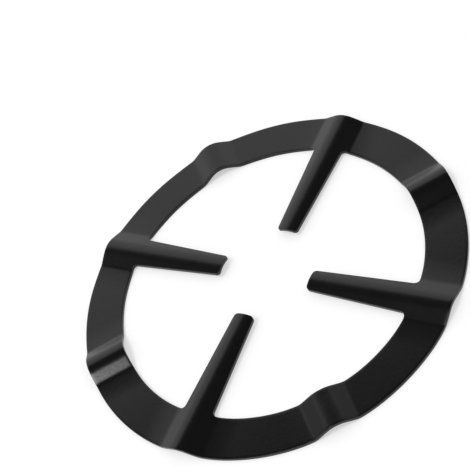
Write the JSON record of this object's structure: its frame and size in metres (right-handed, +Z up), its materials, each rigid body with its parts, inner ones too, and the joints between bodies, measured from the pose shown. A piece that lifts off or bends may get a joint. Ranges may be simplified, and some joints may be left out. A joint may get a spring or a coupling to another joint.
{
  "type": "stove reducer ring",
  "caption": "Pressed sheet-metal ring for a gas hob, with ridged fingers that reach in under a small pot and humps across the ring, coated satin black.",
  "frame": {"origin": "on the ring's axis, in the plane of the underside of its flats", "axes": "+Z up along the ring's axis, from the hob towards the pot; the fingers point in along +X, +Y, -X and -Y"},
  "size_m": [0.14, 0.14, 0.0044],
  "materials": {
    "black_coat": "satin black heat-proof coating"
  },
  "bodies": {
    "root": {"reducer_ring": "black_coat"}
  },
  "joints": []
}
